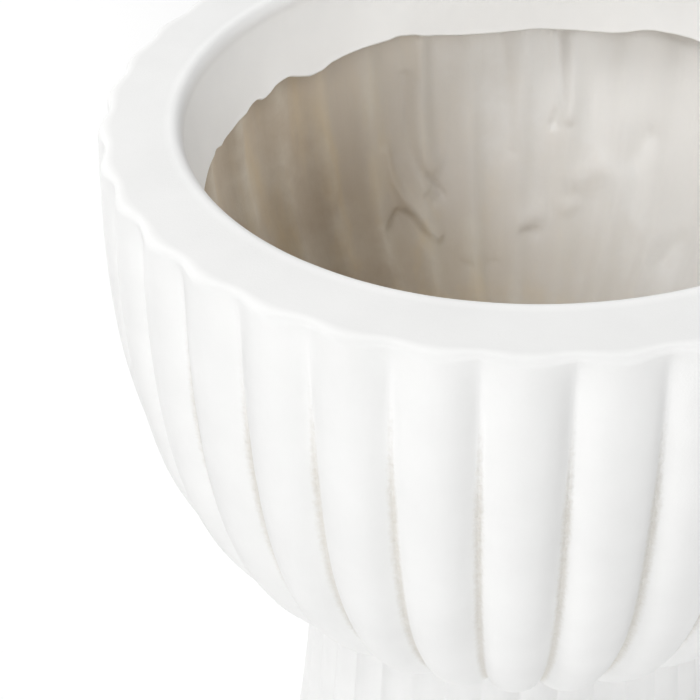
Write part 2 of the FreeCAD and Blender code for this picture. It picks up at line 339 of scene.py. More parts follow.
def casting_tree():
    """Node tree that sweeps a half section round +Z into a ribbed casting."""
    tree, given = new_tree("ribbed casting", CASTING_INPUTS, "Casting")
    section = given["Half section"]

    def maths(operation, *values):
        """One step of arithmetic."""
        return calc(tree, operation, *values)

    def whole(operation, *values):
        """One step of arithmetic on whole numbers."""
        return add(tree, "FunctionNodeIntegerMath", values, operation=operation)

    def named(name):
        """The value that a point carries under this name."""
        return add(tree, "GeometryNodeInputNamedAttribute", {"Name": name}, data_type="FLOAT")

    def legs(length, angle):
        """The parts of a length along and across, when it points this way."""
        return [maths("MULTIPLY", length, maths(part, angle)) for part in ("COSINE", "SINE")]

    def seeded_noise(place, scale, detail):
        """Noise that the casting's seed sets apart."""
        return add(tree, "ShaderNodeTexNoise", {
            "Vector": place, "W": given["Seed"], "Scale": scale, "Detail": detail},
            noise_dimensions="4D")

    # A grid with one row of points per point of the section and one column per direction
    rows = add(tree, "GeometryNodeAttributeDomainSize", {"Geometry": section}, "Point Count")
    columns = whole("ADD", whole("MULTIPLY", given["Ribs"], given["Columns per rib"]), 1)
    grid = add(tree, "GeometryNodeMeshGrid", {"Vertices X": columns, "Vertices Y": rows})
    index = add(tree, "GeometryNodeInputIndex")
    row = whole("MODULO", index, rows)
    column = whole("DIVIDE_FLOOR", index, rows)

    def sampled(value, data_type="FLOAT"):
        """The value that the section's point of this row carries."""
        return add(tree, "GeometryNodeSampleIndex",
                   {"Geometry": section, "Value": value, "Index": row}, data_type=data_type)

    place = sampled(add(tree, "GeometryNodeInputPosition"), "FLOAT_VECTOR")
    radius = add(tree, "ShaderNodeSeparateXYZ", (place,), "X")
    height = add(tree, "ShaderNodeSeparateXYZ", (place,), "Z")

    # Share of a rib from its crest, -0.5 to 0.5, with the columns crowded into the grooves
    ribs_round = maths("DIVIDE", column, given["Columns per rib"])
    rib = maths("ROUND", ribs_round)
    even = maths("SUBTRACT", ribs_round, rib)
    drawn = maths("SINE", maths("MULTIPLY", even, math.tau))
    share = maths("MULTIPLY_ADD", drawn, COLUMN_CROWDING / math.tau, even)
    pitch = maths("DIVIDE", math.tau, given["Ribs"])
    straight = maths("MULTIPLY_ADD", maths("ADD", rib, share), pitch, given["Turn"])
    circle = add(tree, "ShaderNodeCombineXYZ", (
        maths("COSINE", straight), maths("SINE", straight),
        maths("MULTIPLY", height, NOISE_CLIMB)))
    stray = maths("SUBTRACT", seeded_noise(circle, WANDER_SCALE, 1.0), 0.5)
    azimuth = maths("MULTIPLY_ADD", stray, given["Rib wander"], straight)

    # Arc of a rib: radius = c cos a + sqrt(p^2 - (c sin a)^2), with p the arc, c its centre
    from_crest = maths("ABSOLUTE", maths("MULTIPLY", share, 2.0))
    soft = maths("SMOOTH_MIN", from_crest, *GROOVE_BOTTOM)
    full = maths("POWER", soft, given["Rib fullness"])
    angle = maths("MULTIPLY", full, maths("MULTIPLY", pitch, 0.5))
    arc = sampled(named("rib_arc"))
    centre = maths("SUBTRACT", radius, arc)
    along, across = legs(centre, angle)
    rest = maths("SUBTRACT",
                maths("POWER", arc, 2.0), maths("MULTIPLY", across, across))
    ribbed = maths("ADD", along, maths("SQRT", rest))

    # Towards the rim the arcs flatten out into a soft wave
    depth = sampled(named("rib_depth"))
    scallop = sampled(named("scallop"))
    swell = maths("COSINE", maths("MULTIPLY", share, math.tau))
    valley = maths("MULTIPLY_ADD", swell, -0.5, 0.5)
    wave = maths("SUBTRACT", radius, maths("MULTIPLY", valley, depth))
    ribbed = add(tree, "ShaderNodeMix", {0: scallop, 2: ribbed, 3: wave})

    # Soft ridges inside, behind the ribs' crests, stronger in some places than in others
    ridge = maths("POWER", maths("MULTIPLY_ADD", swell, 0.5, 0.5), RIDGE_SHARPNESS)
    strength = ranged(tree, seeded_noise(circle, RIDGE_SCALE, 2.0), 0.3, 0.7, *RIDGE_STRENGTH)
    ridge = maths("MULTIPLY", ridge, strength)
    fluted = maths("SUBTRACT", ribbed,
                  maths("MULTIPLY", ridge, sampled(named("flute"))))

    # The torn lower edge of the lip
    ring = add(tree, "ShaderNodeVectorMath", (circle, (1.0, 1.0, 0.0)), operation="MULTIPLY")
    tear = maths("MULTIPLY", given["Torn depth"],
                maths("SUBTRACT", seeded_noise(ring, TEAR_SCALE, 3.0), 0.5))
    level = maths("SUBTRACT", height, maths("MULTIPLY", tear, sampled(named("torn"))))

    swept = add(tree, "GeometryNodeSetPosition", {
        "Geometry": grid,
        "Position": add(tree, "ShaderNodeCombineXYZ", (*legs(fluted, azimuth), level))})
    grooved = maths("SUBTRACT", maths("GREATER_THAN", depth, 0.001), scallop)
    channels = {"groove": maths("MULTIPLY", from_crest, grooved), "ridge": ridge}
    channels.update({name: sampled(named(name)) for name in KEPT_CHANNELS})
    for name, value in channels.items():
        swept = add(tree, "GeometryNodeStoreNamedAttribute",
                    {"Geometry": swept, "Name": name, "Value": value},
                    data_type="FLOAT", domain="POINT")
    closed = add(tree, "GeometryNodeMergeByDistance", {"Geometry": swept, "Distance": 1e-6})

    # Cast faces are never true: press them in a little, in soft clouds
    scale = maths("DIVIDE", 1.0, given["Cloud size"])
    clouds = seeded_noise(add(tree, "GeometryNodeInputPosition"), scale, 3.0)
    pressed = maths("MULTIPLY", maths("MULTIPLY", clouds, named("uneven")), -1.0)
    shaped = add(tree, "GeometryNodeSetPosition", {
        "Geometry": closed,
        "Offset": add(tree, "ShaderNodeVectorMath", {
            0: add(tree, "GeometryNodeInputNormal"), "Scale": pressed}, operation="SCALE")})

    smooth = add(tree, "GeometryNodeSetShadeSmooth", {"Geometry": shaped})
    painted = add(tree, "GeometryNodeSetMaterial", {
        "Geometry": finished(tree, smooth, given["Finish"]), "Material": given["Bare finish"],
        "Selection": maths("GREATER_THAN", named("bare"), 0.5)})
    add(tree, "NodeGroupOutput", (painted,))
    return tree


def evaluated_piece(source, name, tree, values):
    """Runs a node tree on an object and gives the result as a plain mesh object."""
    modifier = source.modifiers.new(tree.name, "NODES")
    modifier.node_group = tree
    sockets = {item.name: item.identifier for item in tree.interface.items_tree
               if item.in_out == "INPUT"}
    for key, value in values.items():
        modifier[sockets[key]] = value
    graph = bpy.context.evaluated_depsgraph_get()
    mesh = bpy.data.meshes.new_from_object(source.evaluated_get(graph))
    mesh.name = name
    source.modifiers.remove(modifier)
    bpy.data.objects.remove(source)
    return linked(name, mesh)


def cast(name, rows, ribs, finish, bare_finish=None, **values):
    """One casting: its half section swept by the shared tree."""
    tree = bpy.data.node_groups.get("ribbed casting") or casting_tree()
    given = {"Ribs": ribs, "Finish": finish, "Bare finish": bare_finish or finish}
    given.update({key.replace("_", " ").capitalize(): value for key, value in values.items()})
    return evaluated_piece(section_object(name + "_section", rows, ribs), name, tree, given)


# ---------------------------------------------------------------- finishes

def new_material(name):
    """A material, its emptied node tree and the place on the object that feeds its noise."""
    material = bpy.data.materials.new(name)
    material.use_nodes = True
    tree = material.node_tree
    tree.nodes.clear()
    return material, tree, add(tree, "ShaderNodeTexCoord", out="Object")


def carried(tree, name):
    """A value that the piece's points carry."""
    return add(tree, "ShaderNodeAttribute", out="Fac", attribute_name=name)


def surface(tree, base, roughness, inputs):
    """Ends a material in one opaque surface."""
    shader = add(tree, "ShaderNodeBsdfPrincipled",
                 {"Base Color": base, "Roughness": roughness, **inputs})
    add(tree, "ShaderNodeOutputMaterial", {"Surface": shader})


def masonry_paint(name, colours):
    """Sprayed matt masonry paint: chalky white, fine grain, gritty and darker in the grooves, that
    darkness part grit and part painted shade, and lighter or darker by a share of painted light.
    """
    material, tree, place = new_material(name)
    grain = noise(tree, place, 1.1 * MM, 3.0, 0.6)
    grit = noise(tree, place, 2.2 * MM, 4.0, 0.7)
    clouds = noise(tree, place, 35 * MM, 3.0)

    # The groove's darker gritty line, part grit and part painted shade in the crease, fades out
    # towards the rim
    near_rim = ranged(tree, add(tree, "ShaderNodeSeparateXYZ", (place,), "Z"),
                      RIM_TOP - 75 * MM, RIM_TOP - 20 * MM, 0.0, 0.13)
    ragged = calc(tree, "MULTIPLY_ADD", grit, 0.16, carried(tree, "groove"))
    in_groove = ranged(tree, calc(tree, "SUBTRACT", ragged, near_rim), 0.92, 1.12,
                       interpolation_type="SMOOTHSTEP")
    tone = ranged(tree, clouds, 0.3, 0.7, 0.96, 1.0)
    # Painted light: the paint goes to its shaded copy on the rim top, half-way on the outside, and
    # stays lit on the inner lip
    body = blend(tree, carried(tree, "coat"), colours.shaded_paint, colours.paint)
    body = blend(tree, 1.0, body, tone, "MULTIPLY")
    # Grooves darkened: part grit, part painted shade in the crease
    base = blend(tree, in_groove, body, colours.groove_grit_and_shade)
    fine = bumped(tree, grain, 0.09 * MM, strength=1.0)
    rough = calc(tree, "MULTIPLY", grit, in_groove)
    bump = bumped(tree, rough, 0.7 * MM, strength=1.0, normal=fine)
    surface(tree, base, 0.72, {"Normal": bump, "IOR": 1.5})
    return material


MIST_AND_LIGHT_DIRECTION = (0.71, 0.62, 0.34)     # from the bowl's middle towards the side with the paint mist and the painted light


def bare_cement(name, colours):
    """Bare fibre cement, pressed into the mould by hand: dry, cloudy, stained in streaks."""
    material, tree, place = new_material(name)
    clouds = noise(tree, place, 55 * MM, 5.0, 0.6)
    drawn = add(tree, "ShaderNodeMapping", {"Vector": place, "Scale": (1.0, 1.0, 0.22)})
    streaks = noise(tree, drawn, 18 * MM, 4.0)
    sand = noise(tree, place, 1.4 * MM, 3.0, 0.65)

    # Whiter on the side that faced the paint gun and the lamps, and towards the lip: part paint
    # mist, part painted light
    side = add(tree, "ShaderNodeVectorMath", (place, MIST_AND_LIGHT_DIRECTION), 1, operation="DOT_PRODUCT")
    side = calc(tree, "MULTIPLY_ADD", clouds, 0.09, side)
    mist_and_lit_side = ranged(tree, side, 0.17, 0.29)
    cloud_share = ranged(tree, clouds, 0.35, 0.68)
    # Painted shade: the valleys between the soft ridges inside are darkened
    valley_shade_share = ranged(tree, carried(tree, "ridge"), 0.0, 0.8, 0.45, 0.0)
    stain_share = ranged(tree, streaks, 0.5, 0.75, 0.0, 0.5)
    body = blend(tree, cloud_share, colours.cement, colours.cement_clouds_and_shade)
    body = blend(tree, valley_shade_share, body, colours.cement_clouds_and_shade)
    body = blend(tree, stain_share, body, colours.cement_stain)
    # Lighter on the lit side: paint mist and painted light
    base = blend(tree, mist_and_lit_side, body, colours.paint)
    fine = bumped(tree, sand, 0.12 * MM)
    bump = bumped(tree, streaks, 1.2 * MM, strength=0.6, normal=fine)
    surface(tree, base, 0.85, {"Normal": bump, "IOR": 1.5})
    return material


def cement_mortar(name, colours):
    """Sand and cement mortar, struck off with a trowel: grey, coarse sand, no sheen."""
    material, tree, place = new_material(name)
    sand = noise(tree, place, 1.2 * MM, 4.0, 0.7)
    base = blend(tree, 1.0, colours.mortar, ranged(tree, sand, 0.3, 0.7, 0.75, 1.0), "MULTIPLY")
    surface(tree, base, 0.9, {"Normal": bumped(tree, sand, 0.5 * MM)})
    return material


def moulded_rubber(name, shade, dust_share):
    """Moulded rubber with a satin skin: dark, faintly mottled, dusted with cement."""
    material, tree, place = new_material(name)
    skin = noise(tree, place, 0.7 * MM, 2.0)
    dust = noise(tree, place, 6 * MM, 5.0, 0.7)
    share = ranged(tree, dust, 0.45, 0.75, 0.0, dust_share)
    base = blend(tree, share, shade, linear("#8E877C"))
    roughness = ranged(tree, share, 0.0, 1.0, 0.5, 0.95)
    surface(tree, base, roughness, {"Normal": bumped(tree, skin, 0.05 * MM), "IOR": 1.52})
    return material


def studio_floor(name, glow):
    """Backlit white acrylic sweep: even, pale and without grain."""
    material, tree, _ = new_material(name)
    surface(tree, linear("#F2F2F2"), 0.8, {"Emission Color": WHITE, "Emission Strength": glow})
    return material


# ---------------------------------------------------------------- bowl

def crest_radius(sizes, height, inwards=0.0):
    """Radius of the bowl's crest line at a height, or of the line this far inside it."""
    belly_height = RIM_TOP - sizes.belly_below_rim
    if height >= belly_height:
        arc = sizes.shoulder_arc - inwards
        return (sizes.belly_radius - sizes.shoulder_arc
                + math.sqrt(arc ** 2 - (height - belly_height) ** 2))
    join = math.asin(sizes.flank_drop / sizes.flank_arc)
    flank_centre = sizes.belly_radius - sizes.flank_arc
    arc = sizes.flank_arc - inwards
    if belly_height - height <= arc * math.sin(join):
        return flank_centre + math.sqrt(arc ** 2 - (belly_height - height) ** 2)
    join_radius = sizes.belly_radius - sizes.flank_arc * (1 - math.cos(join))
    fall = belly_height - sizes.flank_drop - SEAT_HEIGHT
    end = 2 * math.atan2(join_radius - sizes.seat_radius, fall) - join
    under_arc = fall / (math.sin(end) - math.sin(join))
    shift = sizes.flank_arc - under_arc
    under_height = belly_height - shift * math.sin(join)
    return (flank_centre + shift * math.cos(join)
            + math.sqrt((under_arc - inwards) ** 2 - (under_height - height) ** 2))


def groove_depth(sizes, below_rim):
    """Depth of the bowl's grooves: a scallop at the rim, deepest where the ribs hang."""
    lower = sizes.groove_lower_drop
    if below_rim <= lower:
        depth = mix(sizes.groove_upper, sizes.groove_lower, below_rim / lower)
    else:
        share = (below_rim - lower) / (RIM_TOP - SEAT_HEIGHT - lower)
        depth = mix(sizes.groove_lower, sizes.groove_at_seat, share)
    run_in = math.exp(-below_rim / sizes.groove_run_in)
    return depth - run_in * (sizes.groove_upper - sizes.groove_at_rim)


def bowl_rows(sizes):
    """Half section of the bowl, from the drain round the outside and back down the inside."""
    small = 1.2 * MM                # rounding of the edges at the seat and the drain
    skin, flat, lip_face, wall_face = 0.5 * MM, 0.6 * MM, 1.2 * MM, 2.2 * MM    # unevenness
    spigot_bottom = BOWL_LOW.z
    floor_top = SEAT_HEIGHT + sizes.floor
    rows = [Row(mix(sizes.drain_radius, sizes.spigot_radius - small, share), spigot_bottom)
            for share in steps(5)]
    rows += corner(sizes.spigot_radius - small, spigot_bottom + small, small, -80, 0, 3)
    rows.append(Row(sizes.spigot_radius, SEAT_HEIGHT - small))
    seat_edge = sizes.seat_radius - sizes.groove_at_seat - 3 * MM
    rows += [Row(mix(sizes.spigot_radius, seat_edge, share), SEAT_HEIGHT) for share in steps(4)]
    rows.append(Row(sizes.seat_radius - small, SEAT_HEIGHT, sizes.groove_at_seat))

    def outside(below, inset, dip=0.0):
        """A row of the ribbed outside, which turns into a soft wave towards the rim."""
        scallop = max(0.0, 1 - below / sizes.scallop_drop) ** 1.5
        return Row(crest_radius(sizes, RIM_TOP - below) - inset, RIM_TOP - below - dip,
                   groove_depth(sizes, below), scallop, uneven=skin)

    # Ribbed outside, with the rows crowded under the rim where the grooves run in
    wall_rows, edge_rows = 66, 8
    crowding = 1.35
    wall_height = RIM_TOP - SEAT_HEIGHT - 0.5 * small
    rows += [outside(mix(wall_height, sizes.edge_rounding, 1 - (1 - share) ** crowding),
                     PAINT_SKIN) for share in steps(wall_rows)]
    for share in steps(edge_rows, first=1):
        angle = math.pi / 2 * share
        inset = sizes.edge_rounding * (1 - math.cos(angle)) + PAINT_SKIN
        rows.append(outside(sizes.edge_rounding * (1 - math.sin(angle)), inset, PAINT_SKIN))

    # Flat rim top, rounded mouth and the smooth painted lip
    mouth = crest_radius(sizes, RIM_TOP) - sizes.rim_width
    outer_flat = crest_radius(sizes, RIM_TOP) - sizes.edge_rounding
    inner_flat = mouth + sizes.mouth_rounding
    rim_rows, lip_rows, inner_rows = 9, 14, 52
    # The flat rim top takes the shaded copy of the paint: painted shade
    for share in steps(rim_rows, first=1)[:-1]:
        depth = sizes.groove_at_rim * max(0.0, 1 - 2.2 * share) ** 2
        rows.append(Row(mix(outer_flat, inner_flat, share), RIM_TOP - PAINT_SKIN, depth, 1.0,
                        uneven=flat, coat=0.0))
    rows += corner(inner_flat, RIM_TOP - sizes.mouth_rounding - PAINT_SKIN,
                   sizes.mouth_rounding, 90, 180, 5, uneven=skin)
    lip_bottom = RIM_TOP - sizes.lip_depth
    lip = mouth - sizes.lip_taper
    bead = sizes.lip_bead
    # The inner lip and its bead take the lit copy of the paint: painted light
    for share in steps(lip_rows, first=1):
        height = mix(RIM_TOP - sizes.mouth_rounding, lip_bottom + bead, share)
        torn = max(0.0, (share - 0.25) / 0.75) ** 1.5
        rows.append(Row(mix(mouth, lip, share), height, uneven=lip_face, torn=torn, coat=1.0))
    rows += corner(lip + bead, lip_bottom + bead, bead, 195, 270, 4, uneven=0.8 * MM, torn=1.0,
                   coat=1.0)

    # Bare inside: the underside of the lip, the fluted wall, the floor and the drain
    wall_start = lip_bottom - sizes.lip_shoulder
    wide = crest_radius(sizes, wall_start, sizes.shell)
    for share in (0.02, 0.1, 0.25, 0.45, 0.65, 0.85):
        rows.append(Row(mix(lip + bead, wide, share), mix(lip_bottom, wall_start, share ** 1.6),
                        flute=sizes.flute_height * share, uneven=lip_face,
                        torn=(1 - share) ** 1.3, bare=1.0))
    fillet_top = floor_top + sizes.floor_fillet
    for share in steps(inner_rows):
        height = mix(wall_start, fillet_top, share)
        rows.append(Row(crest_radius(sizes, height, sizes.shell), height,
                        flute=sizes.flute_height, uneven=wall_face, bare=1.0))
    wall_foot = crest_radius(sizes, fillet_top, sizes.shell)
    corner_radius = crest_radius(sizes, floor_top, sizes.shell)
    floor_edge = corner_radius - sizes.floor_fillet
    for share in steps(6, first=1):
        start = mix(wall_foot, corner_radius, share)
        radius = mix(start, mix(corner_radius, floor_edge, share), share)
        height = mix(fillet_top, floor_top, 1 - (1 - share) ** 2)
        rows.append(Row(radius, height, flute=sizes.flute_height * (1 - share),
                        uneven=mix(wall_face, 1.0 * MM, share), bare=1.0))
    plug_rest = PLUG_HIGH.x + 4 * MM
    for share in steps(12, first=1):
        radius = mix(floor_edge, plug_rest, share)
        rows.append(Row(radius, floor_top, uneven=1.0 * MM * (1 - share), bare=1.0))
    rows.append(Row(sizes.drain_radius + small, floor_top, bare=1.0))
    rows += corner(sizes.drain_radius + small, floor_top - small, small, 100, 180, 3, bare=1.0)
    for share in steps(3, first=1):
        rows.append(Row(sizes.drain_radius, mix(floor_top - small, spigot_bottom, share),
                        bare=1.0 if share < 1 else 0.0))
    return rows


# Folds and marks that a hand left in the bowl's wet inner face: the points are the
# direction in degrees and the height in mm, then half width and rise in mm.
PRESSED_FOLDS = (
    ("hook", ((117, 334), (116.3, 316), (114.4, 303), (112.1, 291), (110.5, 283),
              (107.8, 277)), 3.4, 3.4),
    ("hollow under the hook", ((117.6, 286), (115.6, 291), (113, 287), (111.2, 279)), 4.2, -4.6),
    ("second fold", ((112.3, 379), (112.3, 350), (111.8, 331), (110.6, 319), (108.8, 310),
                     (106.8, 303), (105.7, 298)), 2.4, -2.6),
    ("beige ridge", ((109.4, 402), (109.3, 361), (109.2, 336), (108, 319)), 6.0, 3.0),
    ("pocket", ((109.1, 301), (107.8, 295)), 2.6, -3.0),
    ("deep groove", ((83.6, 398), (82.7, 376), (82.2, 360), (82.5, 351), (83.5, 340)), 2.6, -3.0),
    ("lip of the deep groove", ((81.2, 398), (80.4, 381), (80.1, 362), (80.4, 348)), 3.6, 1.6),
    ("faint groove", ((93.9, 396), (92.9, 369), (92.4, 350), (91.7, 324)), 4.0, -1.6),
    ("thumb lump", ((88.5, 281), (86.3, 285)), 7.0, 2.2),
    ("thumb dent", ((88.3, 275), (86, 273)), 4.0, -2.0),
    ("small lump", ((79.9, 291), (78.6, 293)), 5.0, 1.6),
    ("nick", ((103, 259), (100.4, 258)), 1.6, -1.2),
    ("second nick", ((96.8, 257), (94.4, 257)), 1.6, -1.1),
    ("smear", ((57.4, 272), (54.3, 284)), 6.0, -2.5),
    ("broad smear", ((77.5, 309), (74.0, 316)), 9.0, 2.5),
    ("long smear", ((67.5, 325), (65.0, 340)), 7.0, -2.2),
)
FOLD_REGION = ((72.0, 128.0), (246.0, 402.0))   # directions and heights that are refined
FOLDS_OUTSIDE = 60 * MM                         # nearer the axis lie the floor and the drain


def point_places(mesh):
    """Places of a mesh's points, one row for each."""
    places = np.empty(len(mesh.vertices) * 3)
    mesh.vertices.foreach_get("co", places)
    return places.reshape(-1, 3)


def point_values(mesh, name):
    """The value that each of a mesh's points carries under this name."""
    values = np.empty(len(mesh.vertices))
    mesh.attributes[name].data.foreach_get("value", values)
    return values


def directions(places):
    """Directions of points from the axis, in degrees from +X."""
    return np.degrees(np.arctan2(places[:, 1], places[:, 0])) % 360


def move_points(mesh, places):
    """Puts a mesh's points in these places."""
    mesh.vertices.foreach_set("co", places.ravel())
    mesh.update()


def press_folds(piece):
    """Refines the part of the inner wall that holds the folds, and presses them in."""
    mesh = piece.data
    edit = bmesh.new()
    edit.from_mesh(mesh)
    bare = edit.verts.layers.float["bare"]
    (first, last), (low, high) = FOLD_REGION
    edges = set()
    for face in edit.faces:
        middle = face.calc_center_median()
        direction = math.degrees(math.atan2(middle.y, middle.x)) % 360
        inside = all(vert[bare] > 0.5 for vert in face.verts)
        if inside and first < direction < last and low * MM < middle.z < high * MM:
            edges.update(face.edges)
    bmesh.ops.subdivide_edges(edit, edges=list(edges), cuts=1, use_grid_fill=True)
    edit.to_mesh(mesh)
    edit.free()

    places = point_places(mesh)
    azimuth = directions(places)
    height = places[:, 2] / MM
    radius = np.hypot(places[:, 0], places[:, 1])
    wall = (point_values(mesh, "bare") > 0.5) & (radius > FOLDS_OUTSIDE)
    rise = np.zeros(len(places))
    for _, path, half_width, amount in PRESSED_FOLDS:
        nearest = np.full(len(places), np.inf)
        for (start_az, start_z), (end_az, end_z) in zip(path, path[1:]):
            x = np.radians(azimuth - start_az) * radius / MM
            run_x = np.radians(end_az - start_az) * radius / MM
            y = height - start_z
            run_y = end_z - start_z
            share = np.clip((x * run_x + y * run_y) / (run_x ** 2 + run_y ** 2), 0, 1)
            nearest = np.minimum(nearest, np.hypot(x - share * run_x, y - share * run_y))
        rise += amount * np.exp(-(nearest / half_width) ** 2)
    inwards = places * (-1, -1, 0) / np.maximum(radius, 1e-9)[:, None]
    places += inwards * (rise * wall * MM)[:, None]
    move_points(mesh, places)


# Where the lip's lower edge was torn: direction and half width in degrees, drop in mm
LIP_TEARS = (
    (172.8, 1.4, -1.2), (170.0, 1.4, 1.2), (155.5, 2.2, -2.4), (146.2, 3.6, -3.2),
    (137.0, 3.2, 2.8), (124.0, 7.0, -1.2), (115.2, 3.2, -2.2), (98.5, 10.8, 2.2),
    (58.0, 10.0, -6.6),
)


def tear_lip(piece):
    """Draws the lip's lower edge up or down where pieces of the wet cement tore off."""
    places = point_places(piece.data)
    torn = point_values(piece.data, "torn")
    azimuth = directions(places)
    for direction, half_width, drop in LIP_TEARS:
        away = (azimuth - direction + 180) % 360 - 180
        places[:, 2] -= torn * drop * MM * np.exp(-(away / half_width) ** 4)
    move_points(piece.data, places)


PAINT_NAME = "sprayed matt masonry paint"
CEMENT_NAME = "bare hand-pressed fibre cement"
RIB_WANDER = math.radians(0.5)


class PLANTER_OT_bowl(bpy.types.Operator):
    """Cast the ribbed bowl with its torn inner lip and hand-pressed inside"""
    bl_idname = "planter.bowl"
    bl_label = "Bowl"

    def execute(self, context):
        sizes = context.scene.planter_bowl
        colours = context.scene.planter_colours
        paint = masonry_paint(PAINT_NAME, colours)
        cement = bare_cement(CEMENT_NAME, colours)
        piece = cast("bowl_casting", bowl_rows(sizes), sizes.ribs, paint, cement,
                     rib_wander=RIB_WANDER, rib_fullness=1.1, seed=4.0,
                     torn_depth=sizes.torn_depth)
        tear_lip(piece)
        press_folds(piece)
        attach(piece, "planter")
        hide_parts("bowl")
        return {"FINISHED"}


# ---------------------------------------------------------------- pedestal and bed

def pedestal_rows(sizes):
    """Half section of the pedestal, from its socket out over the deck and down to the foot."""
    top, bottom = PEDESTAL_HIGH.z, PEDESTAL_LOW.z
    top_radius = sizes.foot_radius - sizes.flare
    half_height = (top - bottom) / 2
    chord = math.hypot(half_height, sizes.flare / 2)
    arc = (chord ** 2 + sizes.flare_sag ** 2) / (2 * sizes.flare_sag)

    def crest(height):
        """Radius of the crest line, which bows in between the foot and the deck."""
        share = (height - bottom) / (top - bottom)
        bow = (arc - math.sqrt(arc ** 2 - chord ** 2)
               - (arc - math.sqrt(arc ** 2 - (chord * (2 * share - 1)) ** 2)))
        return mix(sizes.foot_radius, top_radius, share) - bow - PAINT_SKIN

    edge = sizes.edge_rounding
    groove = sizes.groove_depth
    deck_bottom = top - sizes.deck
    deck_hollow = crest(deck_bottom) - groove - sizes.top_wall
    foot_hollow = crest(bottom) - groove - sizes.foot_wall
    skin = dict(uneven=0.5 * MM, scallop=0.4)
    rows = [Row(sizes.socket_radius, deck_bottom), Row(sizes.socket_radius, top - 1 * MM)]
    rows += [Row(mix(sizes.socket_radius + 1 * MM, top_radius - groove - 4 * MM, share), top)
             for share in steps(5)]
    rows += corner(top_radius - edge, top - edge, edge, 88, 12, 5, rib_depth=groove, **skin)
    wall_rows, hollow_rows = 48, 12
    for share in steps(wall_rows):
        height = mix(top - edge, bottom + edge, share)
        rows.append(Row(crest(height), height, groove, **skin))
    rows += corner(crest(bottom) - edge, bottom + edge, edge, -12, -88, 5,
                   rib_depth=groove, **skin)
    rows += [Row(mix(crest(bottom) - groove - 4 * MM, foot_hollow + 1 * MM, share), bottom)
             for share in steps(4)]
    for share in steps(hollow_rows):
        rows.append(Row(mix(foot_hollow, deck_hollow, share), mix(bottom, deck_bottom, share),
                        uneven=1.5 * MM * min(1.0, 6 * share), bare=1.0))
    for share in steps(4, first=1):
        rows.append(Row(mix(deck_hollow, sizes.socket_radius, share), deck_bottom,
                        bare=1.0 if share < 1 else 0.0))
    return rows


class PLANTER_OT_pedestal(bpy.types.Operator):
    """Cast the flared pedestal with its ribs out of line with the bowl's"""
    bl_idname = "planter.pedestal"
    bl_label = "Pedestal"

    def execute(self, context):
        sizes = context.scene.planter_pedestal
        ribs = context.scene.planter_bowl.ribs
        paint = bpy.data.materials[PAINT_NAME]
        cement = bpy.data.materials[CEMENT_NAME]
        piece = cast("pedestal_casting", pedestal_rows(sizes), ribs, paint, cement,
                     columns_per_rib=10, turn=sizes.rib_turn, rib_wander=RIB_WANDER, seed=9.0)
        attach(piece, "planter")
        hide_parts("pedestal")
        return {"FINISHED"}


class PLANTER_OT_mortar(bpy.types.Operator):
    """Bed the bowl on the pedestal in a ring of mortar"""
    bl_idname = "planter.mortar"
    bl_label = "Mortar bed"

    def execute(self, context):
        colours = context.scene.planter_colours
        inner = context.scene.planter_pedestal.socket_radius
        outer = BED_HIGH.x
        middle = (BED_LOW.z + BED_HIGH.z) / 2
        hollow = 0.6 * MM           # the struck joint is hollow between the two castings
        rough = 1.5 * MM
        rows = [Row(inner, BED_LOW.z)]
        rows += [Row(mix(inner, outer, share), BED_LOW.z) for share in steps(4, first=1)]
        rows += [Row(outer - hollow, mix(BED_LOW.z, middle, 0.5), uneven=rough),
                 Row(outer - 2 * hollow, middle, uneven=rough),
                 Row(outer - hollow, mix(middle, BED_HIGH.z, 0.5), uneven=rough)]
        rows += [Row(mix(outer, inner, share), BED_HIGH.z) for share in steps(4)]
        rows.append(rows[0])
        mortar = cement_mortar("struck cement mortar", colours)
        piece = cast("mortar_joint", rows, 36, mortar, columns_per_rib=8, cloud_size=9 * MM,
                     seed=2.0)
        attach(piece, "planter")
        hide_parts("mortar_bed")
        return {"FINISHED"}


# ---------------------------------------------------------------- plug and pads

def plug_rows():
    """Half section of the drain plug, from its tip up to the ribbed grip."""
    shank = 11.9 * MM
    flange = PLUG_HIGH.x
    flange_bottom = PLUG_HIGH.z - 14 * MM
    flange_top = flange_bottom + 4 * MM
    grip_bottom = flange_top + 4 * MM
    grip = 7 * MM
    neck = 4.5 * MM
    soft = 0.8 * MM
    tip = PLUG_LOW.z
    flute, ring_dip = 0.7 * MM, 0.7 * MM
    rows = [Row(AXIS, tip)]
    rows += corner(shank - 2.5 * MM - soft, tip + soft, soft, -90, -20, 3)
    rows += [Row(shank, tip + 5 * MM), Row(shank, tip + 6 * MM)]
    for ring in range(3):           # three soft sealing rings round the shank
        middle = tip + (10 + 6 * ring) * MM
        rows += [Row(shank, middle - 1 * MM), Row(shank - ring_dip, middle),
                 Row(shank, middle + 1 * MM)]
    rows += [Row(shank, flange_bottom - soft / 2), Row(shank + soft, flange_bottom)]
    rows += corner(flange - soft, flange_bottom + soft, soft, -90, 0, 3)
    rows += corner(flange - 1.6 * MM, flange_top - 1.6 * MM, 1.6 * MM, 0, 90, 5)
    rows += [Row(flange - 6 * MM, flange_top - 0.3 * MM), Row(neck + soft, flange_top),
             Row(neck, flange_top + soft), Row(neck, grip_bottom - soft),
             Row(neck + soft, grip_bottom)]
    rows += corner(grip - soft, grip_bottom + soft, soft, -80, 0, 3, rib_depth=flute)
    rows += corner(grip - 1.4 * MM, PLUG_HIGH.z - 1.4 * MM, 1.4 * MM, 0, 70, 5, rib_depth=flute)
    rows += [Row(grip - 2.5 * MM, PLUG_HIGH.z), Row(grip - 3.5 * MM, PLUG_HIGH.z - 0.4 * MM),
             Row(AXIS, PLUG_HIGH.z - 0.5 * MM)]
    return rows


